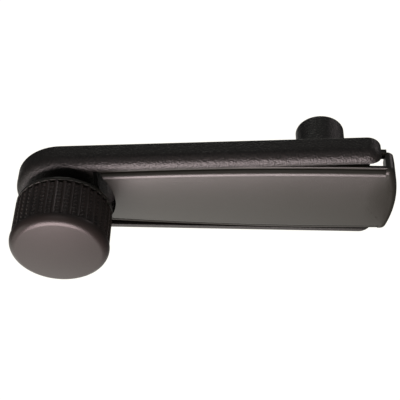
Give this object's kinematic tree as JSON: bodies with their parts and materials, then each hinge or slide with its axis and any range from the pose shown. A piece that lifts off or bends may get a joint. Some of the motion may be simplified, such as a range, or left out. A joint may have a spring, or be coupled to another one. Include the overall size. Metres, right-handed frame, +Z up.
{
  "type": "car window winder handle",
  "caption": "Car window winder handle: crank arm with a splined hub, a hinged cover over the fixing screw, and a free-turning knob with a ribbed grip and a smooth cap.",
  "frame": {"origin": "where the spindle axis meets the rear face of the hub", "axes": "+Y runs along the spindle axis towards the door, so that the handle's front looks along -Y; the arm lies along X with the knob at -X; +Z is up on the door in the pose of the picture"},
  "size_m": [0.1287, 0.0553, 0.0408],
  "materials": {
    "arm_plastic": "fine grained, near black",
    "cover_plastic": "smooth satin, warm dark grey",
    "grip_rubber": "matt black",
    "steel": "bright",
    "plated_steel": "zinc plated",
    "sintered_steel": "dull, as sintered",
    "acetal": "natural, off-white"
  },
  "bodies": {
    "arm": {"crank_arm": "arm_plastic", "hub_insert": "sintered_steel", "plain_washer": "plated_steel", "lock_washer": "steel", "fixing_screw": "plated_steel", "knob_spindle": "steel", "spindle_backing_washer": "steel", "thrust_washer": "acetal", "wave_washer": "steel", "retaining_ring": "steel"},
    "knob": {"knob_core": "cover_plastic", "knob_bush": "acetal", "grip_sleeve": "grip_rubber", "knob_cap": "cover_plastic"},
    "cover": {"arm_cover": "cover_plastic"}
  },
  "joints": [
    {"name": "knob_spin", "type": "hinge", "parent": "arm", "child": "knob", "pos_m": [-0.0876, -0.04, 0], "axis": [0, 1, 0], "continuous": true},
    {"name": "cover_hinge", "type": "hinge", "parent": "arm", "child": "cover", "pos_m": [-0.071, -0.0266, 0], "axis": [0, 0, -1], "range_deg": [-1, 45]}
  ]
}
